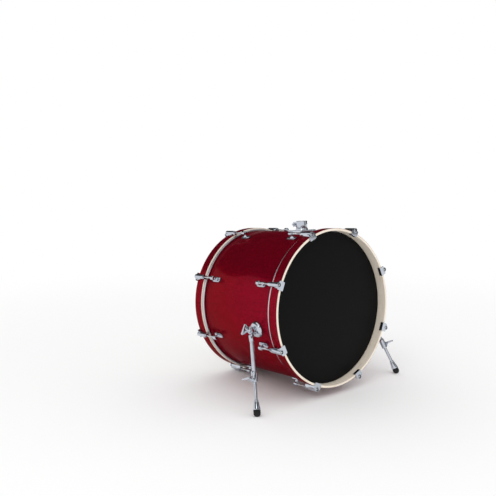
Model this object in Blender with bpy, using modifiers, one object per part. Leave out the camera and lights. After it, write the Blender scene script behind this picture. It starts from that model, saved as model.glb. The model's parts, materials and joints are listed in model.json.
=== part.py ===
"""Bass drum, 22 by 16 inches: a wrapped shell with two tensioned heads, on two folding spurs.

Metres, +Z up, front head facing -Y, origin on the floor under the middle of the shell.
The drum is modelled upright, its axis on local +Z and its front head on top, under an empty
that lays it down with the front raised. Each moving piece has its origin on its joint's axis.
"""

from math import cos, pi, radians, sin, sqrt

import bmesh
import bpy
from mathutils import Matrix, Vector

# Fits
FIT = 0.0003  # gap between pieces that touch
ROUND_SIDES = 48  # sides of shell, hoops and heads, with a corner at each tension station
DOME_SIDES = 24
SMALL_SIDES = 16
BOSS_SIDES = 12
BOLT_SIDES = 10
PIN_SIDES = 8

# Shell, with its two bearing edges
SHELL_DEPTH = 0.4064
SHELL_RADIUS = 0.2785
SHELL_WALL = 0.0075
EDGE_FLAT = 0.002  # width of the crest that the film lies on
POST_HOLE_RADIUS = 0.0135  # lets the tom post down into the shell

# Heads
FILM = 0.0006
COLLAR_WALL = 0.0055
COLLAR_HEIGHT = 0.0098

# Wooden hoops
HOOP_WALL = 0.009
HOOP_WIDTH = 0.041
HOOP_STANDOFF = 0.0115  # outside of the hoop beyond the outside of the shell
HOOP_CHAMFER = 0.0012
FILM_RECESS = 0.0357  # from the hoop's open face down to the film

# How the drum stands
FRONT_LIFT = radians(3.5)

# Tension stations, the same on both heads
STATIONS = 8
ROD_RADIUS = 0.003
ROD_OFFSET = 0.0085  # rod axis above the hoop's outside
CLAW_WIDTH = 0.032  # hook over the face of the hoop
CLAW_BODY = 0.027  # body at the hoop's face
CLAW_NOSE = 0.017
CLAW_HEIGHT = 0.0145
CLAW_REACH = 0.010  # how far the nose runs past the hoop
CLAW_PLATE = 0.0034
CLAW_LIP = 0.0032
CLAW_LIP_DEPTH = 0.009
CLAW_ROUND = 0.0016
SEAT_RADIUS = 0.0062  # recess for the head of the rod
SEAT_DEPTH = 0.0022

# Lugs
LUG_SETBACK = 0.048  # from the bearing edge to the near end of the base
LUG_LENGTH = 0.047
LUG_WIDTH = 0.020
LUG_BASE = 0.0045
LUG_NECK_WIDTH = 0.0095
LUG_STEM = 0.011  # stem under the boss, along the drum
BOSS_LEAD = 0.003  # middle of the boss ahead of the middle of the base
BOSS_RADIUS = 0.0084
BOSS_LENGTH = 0.015
MOUTH_RADIUS = 0.0046  # collar on the boss that the rod goes into
MOUTH_LENGTH = 0.005
ROD_ENTRY = 0.014  # how deep the rod stands in the lug

# Tom mount on top of the shell
MOUNT_SETBACK = 0.128  # from the front bearing edge to the post
MOUNT_LENGTH = 0.076
MOUNT_SPAN = 0.084
MOUNT_PLATE = 0.005  # top of the saddle above the crown of the shell
MOUNT_HEIGHT = 0.013  # top of the pedestal above the crown
PEDESTAL_FOOT = 0.024
PEDESTAL_TOP = 0.022
MOUNT_ROUND = 0.004
POST_RADIUS = 0.0111  # bore for a 22.2 mm post
RECEIVER_RADIUS = 0.021
RECEIVER_HEIGHT = 0.026
RECEIVER_SLOT = 0.0045
EAR_LENGTH = 0.017
EAR_THICKNESS = 0.009
EAR_WIDTH = 0.018
EAR_ROUND = 0.0015

# Wing bolts
BOLT_RADIUS = 0.004
BOLT_GRIP = 0.009  # bolt in the thread behind the pieces that it clamps
HUB_RADIUS = 0.0095
HUB_HEIGHT = 0.013
WING_SPAN = 0.040
WING_HEIGHT = 0.030
WING_THICKNESS = 0.0045
WING_TIP = 0.006  # height of the bar between the ends of the wings
WING_ROOT = 0.0045  # half the width of the wings at the hub
WING_ROOT_LOW = 0.004
WINDOW_LOW = 0.017  # open triangle between the hub and the bar
WINDOW_HALF = 0.0085

# Spurs
SPUR_STATION = radians(190.6)  # left bracket, counted as the tension stations are
SPUR_SETBACK = 0.0863  # from the front bearing edge to the pivot
DOME_RADIUS = 0.029
DOME_RIM = 0.004
DOME_HEIGHT = 0.0155
DOME_TOP = 0.017
DOME_SHOULDER = 0.0236  # radius where the dome's top turns down
DOME_SHOULDER_HEIGHT = 0.0124
PIVOT_OUT = 0.014  # pivot centre beyond the dome
PIVOT_TILT = radians(14.5)  # pivot axis above the horizontal
PIVOT_RADIUS = 0.0135
LEG_SWING = radians(20.0)  # leg ahead of upright
LOCK_TURN = radians(35.0)  # wings of the lock bolt, from the line of the leg
HEAD_RADIUS = 0.0125
HEAD_THICKNESS = 0.013
NECK_RADIUS = 0.0062  # between the head and the sleeve, clear of the stub
SLEEVE_TOP = 0.0102
SLEEVE_END = 0.0084
SLEEVE_LENGTH = 0.040
TUBE_RADIUS = 0.0071
TUBE_LENGTH = 0.152  # from the pivot
ROD_SPUR_RADIUS = 0.0057
ROD_INSIDE = 0.045  # length of the inner rod inside the tube
CLAMP_RADIUS = 0.0110
CLAMP_LENGTH = 0.038
CLAMP_OVERLAP = 0.010  # clamp over the end of the tube
SCREW_RISE = 0.010  # wing screw above the clamp's lower end
SCREW_RADIUS = 0.003
CONE_TOP = 0.0082
CONE_END = 0.0128
CONE_LENGTH = 0.032
TIP_RADIUS = 0.0122
TIP_LENGTH = 0.011  # straight part of the rubber tip, below the cone
TIP_FLAT = 0.002  # how far the rubber is pressed in by the floor

half_depth = SHELL_DEPTH / 2
hoop_radius = SHELL_RADIUS + HOOP_STANDOFF
hoop_face = half_depth + FILM_RECESS
hoop_back = hoop_face - HOOP_WIDTH
hoop_inner = hoop_radius - HOOP_WALL
collar_inner = SHELL_RADIUS + FIT + FILM + FIT
rod_line = hoop_radius + ROD_OFFSET
lug_middle = half_depth - LUG_SETBACK - LUG_LENGTH / 2
boss_middle = lug_middle + BOSS_LEAD
lug_mouth = boss_middle + BOSS_LENGTH / 2 + MOUTH_LENGTH
rod_low = lug_mouth - ROD_ENTRY


def clear_scene():
    for thing in list(bpy.data.objects):
        bpy.data.objects.remove(thing, do_unlink=True)


def new_collection(name):
    made = bpy.data.collections.new(name)
    bpy.context.scene.collection.children.link(made)
    return made


def finish_of(name, color, roughness, metallic):
    material = bpy.data.materials.new(name)
    material.use_nodes = True
    shader = material.node_tree.nodes["Principled BSDF"]
    shader.inputs["Base Color"].default_value = (*color, 1.0)
    shader.inputs["Roughness"].default_value = roughness
    shader.inputs["Metallic"].default_value = metallic
    return material


def new_object(name, mesh, group):
    thing = bpy.data.objects.new(name, mesh)
    group.objects.link(thing)
    return thing


def evaluated(thing):
    """The object's mesh with its modifiers applied and coincident points joined."""
    bpy.context.view_layer.update()
    graph = bpy.context.evaluated_depsgraph_get()
    mesh = bpy.data.meshes.new_from_object(thing.evaluated_get(graph))
    work = bmesh.new()
    work.from_mesh(mesh)
    bmesh.ops.remove_doubles(work, verts=work.verts, dist=FIT / 100)
    work.to_mesh(mesh)
    work.free()
    return mesh


def baked(thing):
    """Replaces a helper by its finished mesh and removes the helper."""
    mesh = evaluated(thing)
    bpy.data.objects.remove(thing, do_unlink=True)
    return mesh


def smooth(mesh, angle=35.0):
    mesh.shade_smooth()
    mesh.set_sharp_from_angle(angle=radians(angle))


def turned(profile, sides):
    """A ring or a solid turned about Z from (radius, height) points, outer side top to bottom first."""
    mesh = bpy.data.meshes.new("profile")
    points = [(radius, 0.0, height) for radius, height in profile]
    closed = profile[0][0] > 0.0
    edges = [(i, i + 1) for i in range(len(points) - 1)]
    if closed:
        edges.append((len(points) - 1, 0))
    mesh.from_pydata(points, edges, [])
    helper = new_object("profile", mesh, cutters)
    screw = helper.modifiers.new("turn", "SCREW")
    screw.steps = sides
    screw.render_steps = sides
    screw.use_merge_vertices = True
    screw.merge_threshold = 0.00005
    screw.use_smooth_shade = True
    return baked(helper)


def rod_mesh(radius, low, high, sides=SMALL_SIDES):
    """A cylinder on Z from low to high."""
    return turned([(0.0, high), (radius, high), (radius, low), (0.0, low)], sides)


def block(size, centre, bevel=0.0):
    """A box with its edges rounded in one step."""
    work = bmesh.new()
    bmesh.ops.create_cube(work, size=1.0)
    bmesh.ops.scale(work, vec=size, verts=work.verts)
    bmesh.ops.translate(work, vec=centre, verts=work.verts)
    if bevel:
        bmesh.ops.bevel(work, geom=work.edges[:], offset=bevel, segments=1, affect="EDGES")
    mesh = bpy.data.meshes.new("block")
    work.to_mesh(mesh)
    work.free()
    return mesh


def plate(outlines, thickness, bevel=0.0):
    """Flat outlines in XY, the later ones holes, made a plate centred on Z = 0."""
    curve = bpy.data.curves.new("outline", "CURVE")
    curve.dimensions = "2D"
    curve.fill_mode = "BOTH"
    curve.extrude = thickness / 2
    for outline in outlines:
        spline = curve.splines.new("POLY")
        spline.points.add(len(outline) - 1)
        for point, (x, y) in zip(spline.points, outline):
            point.co = (x, y, 0.0, 1.0)
        spline.use_cyclic_u = True
    helper = bpy.data.objects.new("outline", curve)
    cutters.objects.link(helper)
    mesh = baked(helper)
    if bevel:
        work = bmesh.new()
        work.from_mesh(mesh)
        rims = [edge for edge in work.edges if edge.calc_face_angle(0.0) > radians(50)]
        bmesh.ops.bevel(work, geom=rims, offset=bevel, segments=1, affect="EDGES")
        work.to_mesh(mesh)
        work.free()
    return mesh


def moved(mesh, matrix):
    mesh.transform(matrix)
    return mesh


def combined(base, others, operation):
    """One mesh from Boolean steps on plain meshes in the same frame."""
    helper = new_object("base", base, cutters)
    tools = []
    for other in others:
        tool = new_object("tool", other, cutters)
        tool.hide_render = True
        tool.display_type = "WIRE"
        tools.append(tool)
        step = helper.modifiers.new("step", "BOOLEAN")
        step.operation = operation
        step.object = tool
    mesh = baked(helper)
    for tool in tools:
        bpy.data.objects.remove(tool, do_unlink=True)
    return mesh


def part(name, mesh, material, parent, matrix=Matrix()):
    if not mesh.materials:
        mesh.materials.append(material)
        smooth(mesh)
    thing = new_object(name, mesh, parts)
    thing.parent = parent
    thing.matrix_local = matrix
    return thing


def arc(centre, radius, start, end, steps):
    return [
        (
            centre[0] + radius * cos(radians(start + (end - start) * i / steps)),
            centre[1] + radius * sin(radians(start + (end - start) * i / steps)),
        )
        for i in range(steps + 1)
    ]


def basis(x_axis, z_axis, origin):
    """A frame from its Z axis, an X axis to be squared to it, and its origin."""
    z_axis = z_axis.normalized()
    x_axis = (x_axis - z_axis * x_axis.dot(z_axis)).normalized()
    turn = Matrix((x_axis, z_axis.cross(x_axis), z_axis)).transposed()
    return Matrix.Translation(origin) @ turn.to_4x4()


def along(axis, sign=1.0):
    """Turns a mesh made on Z to lie on another axis."""
    return Vector((0, 0, 1)).rotation_difference(Vector(axis) * sign).to_matrix().to_4x4()


def ring_profile(inner, outer, low, high, chamfer=0.0):
    return [
        (inner + chamfer, high),
        (outer - chamfer, high),
        (outer, high - chamfer),
        (outer, low + chamfer),
        (outer - chamfer, low),
        (inner + chamfer, low),
        (inner, low + chamfer),
        (inner, high - chamfer),
    ]


def shell_mesh():
    """The tube, its bearing edges cut to a narrow crest, with the hole for the tom post."""
    inner = SHELL_RADIUS - SHELL_WALL
    slope = SHELL_WALL - EDGE_FLAT
    tube = turned(
        [
            (SHELL_RADIUS, half_depth),
            (SHELL_RADIUS, -half_depth),
            (SHELL_RADIUS - EDGE_FLAT, -half_depth),
            (inner, -half_depth + slope),
            (inner, half_depth - slope),
            (SHELL_RADIUS - EDGE_FLAT, half_depth),
        ],
        ROUND_SIDES,
    )
    hole = rod_mesh(POST_HOLE_RADIUS, inner - SHELL_WALL, SHELL_RADIUS + SHELL_WALL)
    hole.transform(post_frame() @ Matrix.Translation((0, 0, -SHELL_RADIUS)))
    return combined(tube, [hole], "DIFFERENCE")


def hoop_mesh():
    ring = ring_profile(hoop_inner, hoop_radius, hoop_back, hoop_face, HOOP_CHAMFER)
    return turned(ring, ROUND_SIDES)


def film_mesh():
    """The tight film over the bearing edge, out to the line where it turns down into its collar."""
    under = half_depth + FIT
    return rod_mesh(collar_inner - FIT, under, under + FILM, ROUND_SIDES)


def collar_mesh():
    """The metal flesh hoop that the wooden hoop presses down."""
    top = hoop_back - FIT
    ring = [
        (collar_inner + COLLAR_WALL, top),
        (collar_inner + COLLAR_WALL, top - COLLAR_HEIGHT),
        (collar_inner, top - COLLAR_HEIGHT),
        (collar_inner, top),
    ]
    return turned(ring, ROUND_SIDES)


def lug_mesh():
    """Base plate, stem, boss and the mouth for the rod, on a station frame: X out, Z along the drum."""
    base_low = SHELL_RADIUS + FIT
    corner = LUG_WIDTH / 2
    ends = LUG_LENGTH / 2 - corner
    outline = arc((0, ends), corner, 0, 180, 4) + arc((0, -ends), corner, 180, 360, 4)
    base = plate([outline], LUG_BASE)
    # The plate's Y runs along the drum and its Z runs outwards.
    to_station = Matrix(((0, 0, 1), (1, 0, 0), (0, 1, 0))).to_4x4()
    base.transform(Matrix.Translation((base_low + LUG_BASE / 2, 0, lug_middle)) @ to_station)
    root = base_low + LUG_BASE / 2
    foot = boss_middle - LUG_STEM / 2
    head = boss_middle + LUG_STEM / 2
    stem = plate([[(root, foot), (rod_line, foot), (rod_line, head), (root, head)]], LUG_NECK_WIDTH)
    # The stem's outline lies in the plane of the station, X out and Z along the drum.
    stem.transform(Matrix(((1, 0, 0), (0, 0, -1), (0, 1, 0))).to_4x4())
    boss = rod_mesh(BOSS_RADIUS, boss_middle - BOSS_LENGTH / 2, boss_middle + BOSS_LENGTH / 2, BOSS_SIDES)
    mouth = rod_mesh(MOUTH_RADIUS, boss_middle, lug_mouth, BOSS_SIDES)
    bore = rod_mesh(ROD_RADIUS + FIT, rod_low - FIT, half_depth, PIN_SIDES)
    to_rod = Matrix.Translation((rod_line, 0, 0))
    whole = combined(base, [stem, moved(boss, to_rod), moved(mouth, to_rod)], "UNION")
    return combined(whole, [moved(bore, to_rod)], "DIFFERENCE")


def claw_mesh():
    """The hook over the hoop and its captive rod, on a station frame: X out, Z along the drum."""
    low = hoop_radius + FIT
    top = hoop_face + FIT + CLAW_PLATE
    nose = hoop_back - CLAW_REACH
    half = CLAW_WIDTH / 2
    body_half = CLAW_BODY / 2
    tip = CLAW_NOSE / 2
    outline = [(body_half, top), (body_half, hoop_face - CLAW_LIP_DEPTH), (tip, nose + tip)]
    outline += arc((0, nose + tip / 2), tip, -30, -150, 3)
    outline += [(-tip, nose + tip), (-body_half, hoop_face - CLAW_LIP_DEPTH), (-body_half, top)]
    body = plate([outline], CLAW_HEIGHT, CLAW_ROUND)
    to_station = Matrix(((0, 0, 1), (1, 0, 0), (0, 1, 0))).to_4x4()
    body.transform(Matrix.Translation((low + CLAW_HEIGHT / 2, 0, 0)) @ to_station)
    # The lip is straight and the hoop's inside is round, so it stands in by the chord's rise.
    chord = hoop_inner * cos(pi / ROUND_SIDES)
    lip_high = sqrt(chord**2 - half**2) - FIT
    lip_low = lip_high - CLAW_LIP
    hook = block(
        (low + CLAW_HEIGHT / 2 - lip_low, CLAW_WIDTH, CLAW_PLATE),
        ((low + CLAW_HEIGHT / 2 + lip_low) / 2, 0, top - CLAW_PLATE / 2),
    )
    lip_depth = CLAW_LIP_DEPTH + CLAW_PLATE
    lip = block((CLAW_LIP, CLAW_WIDTH, lip_depth), (lip_low + CLAW_LIP / 2, 0, top - lip_depth / 2))
    rod = rod_mesh(ROD_RADIUS, rod_low, hoop_back, PIN_SIDES)
    rod.transform(Matrix.Translation((rod_line, 0, 0)))
    seat = rod_mesh(SEAT_RADIUS, top - SEAT_DEPTH, top + SEAT_DEPTH, BOSS_SIDES)
    seat.transform(Matrix.Translation((rod_line, 0, 0)))
    whole = combined(body, [hook, lip, rod], "UNION")
    return combined(whole, [seat], "DIFFERENCE")


def wing_bolt_mesh(shank_radius, shank_length):
    """A bolt along -Z with its hub and two wings above Z = 0."""
    shank = rod_mesh(shank_radius, -shank_length, HUB_HEIGHT / 2, BOLT_SIDES)
    hub = rod_mesh(HUB_RADIUS, 0.0, HUB_HEIGHT, BOSS_SIDES)
    half = WING_SPAN / 2
    bar_low = WING_HEIGHT - WING_TIP
    wing = [(WING_ROOT, WING_ROOT_LOW), (half, bar_low), (half, WING_HEIGHT)]
    outline = wing + [(-x, y) for x, y in reversed(wing)]
    window = [(0.0, WINDOW_LOW), (WINDOW_HALF, bar_low), (-WINDOW_HALF, bar_low)]
    opening = plate([window], 2 * WING_THICKNESS)
    wings = combined(plate([outline], WING_THICKNESS), [opening], "DIFFERENCE")
    wings.transform(Matrix.Rotation(pi / 2, 4, "X"))
    return combined(hub, [wings, shank], "UNION")


def post_frame():
    """Where the tom post's axis meets the crown of the shell: Z up out of the shell, X forward."""
    return basis(Vector((0, 0, 1)), Vector((0, 1, 0)), Vector((0, SHELL_RADIUS, half_depth - MOUNT_SETBACK)))


def shell_cutter(matrix):
    """The room that the shell takes up, in the frame of a piece that is fitted to it."""
    room = rod_mesh(SHELL_RADIUS + FIT, -half_depth, half_depth, ROUND_SIDES)
    room.transform(matrix.inverted())
    return room


def mount_base_mesh():
    """The saddle on the shell with the pedestal that carries the receiver, open for the post."""
    height = MOUNT_HEIGHT * 2
    saddle = block((MOUNT_LENGTH, MOUNT_SPAN, height), (0, 0, MOUNT_PLATE - height / 2), MOUNT_ROUND)
    profile = [(0.0, MOUNT_HEIGHT), (PEDESTAL_TOP, MOUNT_HEIGHT), (PEDESTAL_FOOT, 0.0), (0.0, 0.0)]
    body = combined(saddle, [turned(profile, DOME_SIDES)], "UNION")
    bore = rod_mesh(POST_RADIUS + FIT, -height, height)
    return combined(body, [shell_cutter(post_frame()), bore], "DIFFERENCE")


def receiver_mesh():
    """The split collar that grips the post, with two ears for its bolt."""
    low = MOUNT_HEIGHT + FIT
    high = low + RECEIVER_HEIGHT
    ring = rod_mesh(RECEIVER_RADIUS, low, high, DOME_SIDES)
    ear_reach = RECEIVER_RADIUS + EAR_LENGTH
    gap = RECEIVER_SLOT + 2 * EAR_THICKNESS
    ears = block((ear_reach, gap, EAR_WIDTH), (-ear_reach / 2, 0, (low + high) / 2), EAR_ROUND)
    bore = rod_mesh(POST_RADIUS, low - MOUNT_HEIGHT, high + MOUNT_HEIGHT)
    slot = block((2 * ear_reach, RECEIVER_SLOT, 2 * RECEIVER_HEIGHT), (-ear_reach, 0, (low + high) / 2))
    hole = rod_mesh(BOLT_RADIUS + FIT, -2 * gap, 2 * gap, BOLT_SIDES)
    hole.transform(Matrix.Translation(ear_bolt_centre()) @ along((0, 1, 0)))
    whole = combined(ring, [ears], "UNION")
    return combined(whole, [bore, slot, hole], "DIFFERENCE")


def ear_bolt_centre():
    return Vector((-RECEIVER_RADIUS - EAR_LENGTH / 2, 0, MOUNT_HEIGHT + FIT + RECEIVER_HEIGHT / 2))


def spur_frames():
    """The left bracket's frame on the shell and the left leg's frame at its pivot, in the drum's frame."""
    normal = Vector((cos(SPUR_STATION), sin(SPUR_STATION), 0.0))
    foot = normal * SHELL_RADIUS + Vector((0, 0, half_depth - SPUR_SETBACK))
    bracket = basis(Vector((0, 0, 1)), normal, foot)
    axis = Vector((-cos(PIVOT_TILT), sin(PIVOT_TILT), 0.0))
    pivot = foot + normal * DOME_HEIGHT + axis * PIVOT_OUT
    down = Vector((-sin(PIVOT_TILT), -cos(PIVOT_TILT), 0.0))
    leg_line = down * cos(LEG_SWING) + Vector((0, 0, sin(LEG_SWING)))
    return bracket, basis(axis, -leg_line, pivot)


def bracket_mesh(bracket, leg):
    """Dome on the shell with the stub that the leg turns against, in the bracket's frame."""
    dome = turned(
        [
            (0.0, DOME_HEIGHT),
            (DOME_TOP, DOME_HEIGHT),
            (DOME_SHOULDER, DOME_SHOULDER_HEIGHT),
            (DOME_RADIUS, DOME_RIM),
            (DOME_RADIUS, -DOME_RIM),
            (0.0, -DOME_RIM),
        ],
        DOME_SIDES,
    )
    to_bracket = bracket.inverted() @ leg
    face = -HEAD_THICKNESS / 2 - FIT
    stub = rod_mesh(PIVOT_RADIUS, face - PIVOT_OUT, face)
    stub.transform(to_bracket @ along((1, 0, 0)))
    thread = rod_mesh(BOLT_RADIUS + FIT, face - BOLT_GRIP - FIT, HEAD_THICKNESS, BOLT_SIDES)
    thread.transform(to_bracket @ along((1, 0, 0)))
    whole = combined(dome, [stub], "UNION")
    return combined(whole, [shell_cutter(bracket), thread], "DIFFERENCE")


def leg_mesh():
    """Pivot head, tapered sleeve and outer tube, bored for the inner rod, in the leg's frame."""
    head = rod_mesh(HEAD_RADIUS, -HEAD_THICKNESS / 2, HEAD_THICKNESS / 2)
    head.transform(along((1, 0, 0)))
    tube = turned(
        [
            (0.0, 0.0),
            (NECK_RADIUS, 0.0),
            (NECK_RADIUS, -PIVOT_RADIUS - FIT),
            (SLEEVE_TOP, -PIVOT_RADIUS - FIT - SLEEVE_TOP + NECK_RADIUS),
            (SLEEVE_END, -SLEEVE_LENGTH),
            (TUBE_RADIUS, -SLEEVE_LENGTH),
            (TUBE_RADIUS, -TUBE_LENGTH),
            (0.0, -TUBE_LENGTH),
        ],
        SMALL_SIDES,
    )
    bore = rod_mesh(ROD_SPUR_RADIUS + FIT, -2 * TUBE_LENGTH, -SLEEVE_LENGTH)
    pivot = rod_mesh(BOLT_RADIUS + FIT, -HEAD_THICKNESS, HEAD_THICKNESS, BOLT_SIDES)
    pivot.transform(along((1, 0, 0)))
    whole = combined(head, [tube], "UNION")
    return combined(whole, [bore, pivot], "DIFFERENCE")


def clamp_mesh():
    """The collar over the tube's end that grips the inner rod."""
    top = CLAMP_OVERLAP - TUBE_LENGTH
    low = top - CLAMP_LENGTH
    step = -TUBE_LENGTH - FIT
    collar = turned(
        [
            (CLAMP_RADIUS, top),
            (CLAMP_RADIUS, low),
            (ROD_SPUR_RADIUS + FIT, low),
            (ROD_SPUR_RADIUS + FIT, step),
            (TUBE_RADIUS + FIT, step),
            (TUBE_RADIUS + FIT, top),
        ],
        SMALL_SIDES,
    )
    hole = rod_mesh(SCREW_RADIUS + FIT, 0.0, 2 * CLAMP_RADIUS, BOLT_SIDES)
    hole.transform(Matrix.Translation((0, 0, low + SCREW_RISE)) @ along((1, 0, 0)))
    return combined(collar, [hole], "DIFFERENCE")


def rod_end(leg_world):
    """How far along the leg the middle of the rubber tip's round end lies, to stand on the floor."""
    start = leg_world.translation
    line = -leg_world.col[2].to_3d()
    return (TIP_RADIUS - TIP_FLAT - start.z) / line.z


def inner_rod_mesh(end):
    """The inner rod and the cone that carries the rubber tip."""
    cone_low = TIP_LENGTH - end
    cone_high = cone_low + CONE_LENGTH
    return turned(
        [
            (0.0, ROD_INSIDE - TUBE_LENGTH),
            (ROD_SPUR_RADIUS, ROD_INSIDE - TUBE_LENGTH),
            (ROD_SPUR_RADIUS, cone_high),
            (CONE_TOP, cone_high),
            (CONE_END, cone_low),
            (0.0, cone_low),
        ],
        SMALL_SIDES,
    )


def tip_mesh(end, leg_world):
    """The rubber tip, round below and pressed flat by the floor."""
    top = TIP_LENGTH - end - FIT
    dome = [
        (TIP_RADIUS * cos(angle), -end - TIP_RADIUS * sin(angle))
        for angle in [radians(18 * i) for i in range(5)]
    ]
    tip = turned([(0.0, top), (TIP_RADIUS, top)] + dome + [(0.0, -end - TIP_RADIUS)], SMALL_SIDES)
    depth = 4 * TIP_RADIUS
    floor = block((depth, depth, depth), (0, 0, -depth / 2))
    floor.transform(Matrix.Translation((leg_world @ Vector((0, 0, -end))).xy.to_3d()))
    floor.transform(leg_world.inverted())
    return combined(tip, [floor], "DIFFERENCE")


def mirrored(mesh):
    """The same piece for the other side of the drum, its faces turned back outwards."""
    copy = mesh.copy()
    copy.transform(Matrix.Scale(-1, 4, (1, 0, 0)))
    copy.flip_normals()
    return copy


clear_scene()
parts = new_collection("bass_drum")
cutters = new_collection("cutters")

wrap = finish_of("red_sparkle_wrap", (0.22, 0.008, 0.016), 0.18, 0.0)
maple = finish_of("maple", (0.62, 0.47, 0.33), 0.45, 0.0)
black_film = finish_of("black_film", (0.008, 0.008, 0.008), 0.42, 0.0)
white_film = finish_of("coated_white_film", (0.80, 0.79, 0.76), 0.60, 0.0)
aluminium = finish_of("aluminium", (0.72, 0.73, 0.75), 0.30, 1.0)
chrome = finish_of("chrome", (0.80, 0.81, 0.83), 0.08, 1.0)
rubber = finish_of("black_rubber", (0.012, 0.012, 0.013), 0.70, 0.0)

drum = new_object("drum_axis", None, parts)
drum.location.z = hoop_radius * cos(FRONT_LIFT) + hoop_face * sin(FRONT_LIFT)
drum.rotation_euler.x = pi / 2 - FRONT_LIFT
bpy.context.view_layer.update()

part("shell", shell_mesh(), wrap, drum)

# The rear head, hoop and tension stations are the front ones turned end for end about X.
ends = {"front": Matrix(), "rear": Matrix.Rotation(pi, 4, "X")}
hoop = hoop_mesh()
collar = collar_mesh()
film = {"front": film_mesh(), "rear": film_mesh()}
films = {"front": black_film, "rear": white_film}
lug = lug_mesh()
claw = claw_mesh()
for end, flip in ends.items():
    part(f"{end}_hoop", hoop, maple, drum, flip)
    part(f"{end}_head_collar", collar, aluminium, drum, flip)
    part(f"{end}_head_film", film[end], films[end], drum, flip)
    for i in range(STATIONS):
        station = Matrix.Rotation(2 * pi * (i + 0.5) / STATIONS, 4, "Z")
        part(f"{end}_lug_{i + 1}", lug, chrome, drum, flip @ station)
        part(f"{end}_claw_{i + 1}", claw, chrome, drum, flip @ station)

part("tom_mount_base", mount_base_mesh(), chrome, drum, post_frame())
part("tom_mount_receiver", receiver_mesh(), chrome, drum, post_frame())
ear_face = RECEIVER_SLOT / 2 + EAR_THICKNESS + FIT
ear_bolt = basis(Vector((1, 0, 0)), Vector((0, 1, 0)), ear_bolt_centre() + Vector((0, ear_face, 0)))
bolt_length = 2 * ear_face + BOLT_GRIP
part("tom_mount_wing_bolt", wing_bolt_mesh(BOLT_RADIUS, bolt_length), chrome, drum, post_frame() @ ear_bolt)

bracket, leg = spur_frames()
leg_world = drum.matrix_world @ leg
reach = rod_end(leg_world)
wing_line = Vector((0, sin(LOCK_TURN), cos(LOCK_TURN)))
lock = leg @ basis(wing_line, Vector((1, 0, 0)), Vector((HEAD_THICKNESS / 2 + FIT, 0, 0)))
screw_height = CLAMP_OVERLAP - TUBE_LENGTH - CLAMP_LENGTH + SCREW_RISE
screw = leg @ basis(Vector((0, 1, 0)), Vector((1, 0, 0)), Vector((CLAMP_RADIUS + FIT, 0, screw_height)))
screw_length = CLAMP_RADIUS - ROD_SPUR_RADIUS
pieces = [
    ("bracket", bracket_mesh(bracket, leg), chrome, bracket),
    ("lock_bolt", wing_bolt_mesh(BOLT_RADIUS, HEAD_THICKNESS + BOLT_GRIP), chrome, lock),
    ("leg", leg_mesh(), chrome, leg),
    ("clamp", clamp_mesh(), chrome, leg),
    ("clamp_screw", wing_bolt_mesh(SCREW_RADIUS, screw_length), chrome, screw),
    ("rod", inner_rod_mesh(reach), chrome, leg),
    ("tip", tip_mesh(reach, leg_world), rubber, leg),
]
across = Matrix.Scale(-1, 4, (1, 0, 0))
for name, mesh, material, frame in pieces:
    part(f"left_spur_{name}", mesh, material, drum, frame)
    # The mirrored mesh stands in the mirrored frame, which keeps the frame right-handed.
    part(f"right_spur_{name}", mirrored(mesh), material, drum, across @ frame @ across)
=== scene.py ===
import json
from math import cos, pi, radians, sin, sqrt, tau

import bmesh
import bpy
from mathutils import Matrix, Vector


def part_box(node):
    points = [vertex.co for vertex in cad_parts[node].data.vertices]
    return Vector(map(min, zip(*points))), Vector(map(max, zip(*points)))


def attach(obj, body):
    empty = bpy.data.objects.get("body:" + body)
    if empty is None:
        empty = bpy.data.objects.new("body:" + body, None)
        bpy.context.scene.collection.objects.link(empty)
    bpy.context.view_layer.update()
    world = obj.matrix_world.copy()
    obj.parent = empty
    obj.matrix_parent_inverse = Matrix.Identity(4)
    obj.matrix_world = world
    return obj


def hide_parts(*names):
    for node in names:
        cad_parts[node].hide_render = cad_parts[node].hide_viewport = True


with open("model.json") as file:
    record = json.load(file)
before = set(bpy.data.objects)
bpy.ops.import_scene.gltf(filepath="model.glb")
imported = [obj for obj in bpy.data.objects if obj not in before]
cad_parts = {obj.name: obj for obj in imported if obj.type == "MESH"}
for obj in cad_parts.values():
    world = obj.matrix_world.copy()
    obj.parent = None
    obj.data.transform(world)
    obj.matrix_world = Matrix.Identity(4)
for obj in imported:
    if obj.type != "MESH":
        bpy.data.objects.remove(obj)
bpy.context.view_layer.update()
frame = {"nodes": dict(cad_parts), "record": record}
print("frame loaded, nodes:", len(frame["nodes"]))

joints = {joint["name"]: joint for joint in frame["record"]["behaviour"]["joints"]}
shellLow, shellHigh = (Vector(corner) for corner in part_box("shell"))

# The drum is drawn standing on its rear head, axis on +Z, then laid down with its front raised.
stance = {"frontLift": radians(3.5), "centre": (shellLow + shellHigh) / 2}
toWorld = Matrix.Translation(stance["centre"]) @ Matrix.Rotation(pi / 2 - stance["frontLift"], 4, "X")

fit = 0.0003  # gap between pieces that touch
far = 0.3  # reach of a cut that goes right through
drum = {
    "halfDepth": 0.2032,  # bearing edge to the middle
    "shellRadius": 0.2785,
    "hoopRadius": 0.290,
    "hoopWall": 0.009,
    "hoopWidth": 0.041,
    "filmRecess": 0.0357,  # hoop's open face down to the film
    "postSetback": 0.128,  # front bearing edge to the tom post
    "roundSides": 192,
}
hoopFace = drum["halfDepth"] + drum["filmRecess"]
hoopBack = hoopFace - drum["hoopWidth"]
hoopInner = drum["hoopRadius"] - drum["hoopWall"]

# Small tools


def hexColor(text):
    channels = [int(text[i : i + 2], 16) / 255 for i in (1, 3, 5)]
    return (*[c / 12.92 if c <= 0.04045 else ((c + 0.055) / 1.055) ** 2.4 for c in channels], 1.0)


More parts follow.
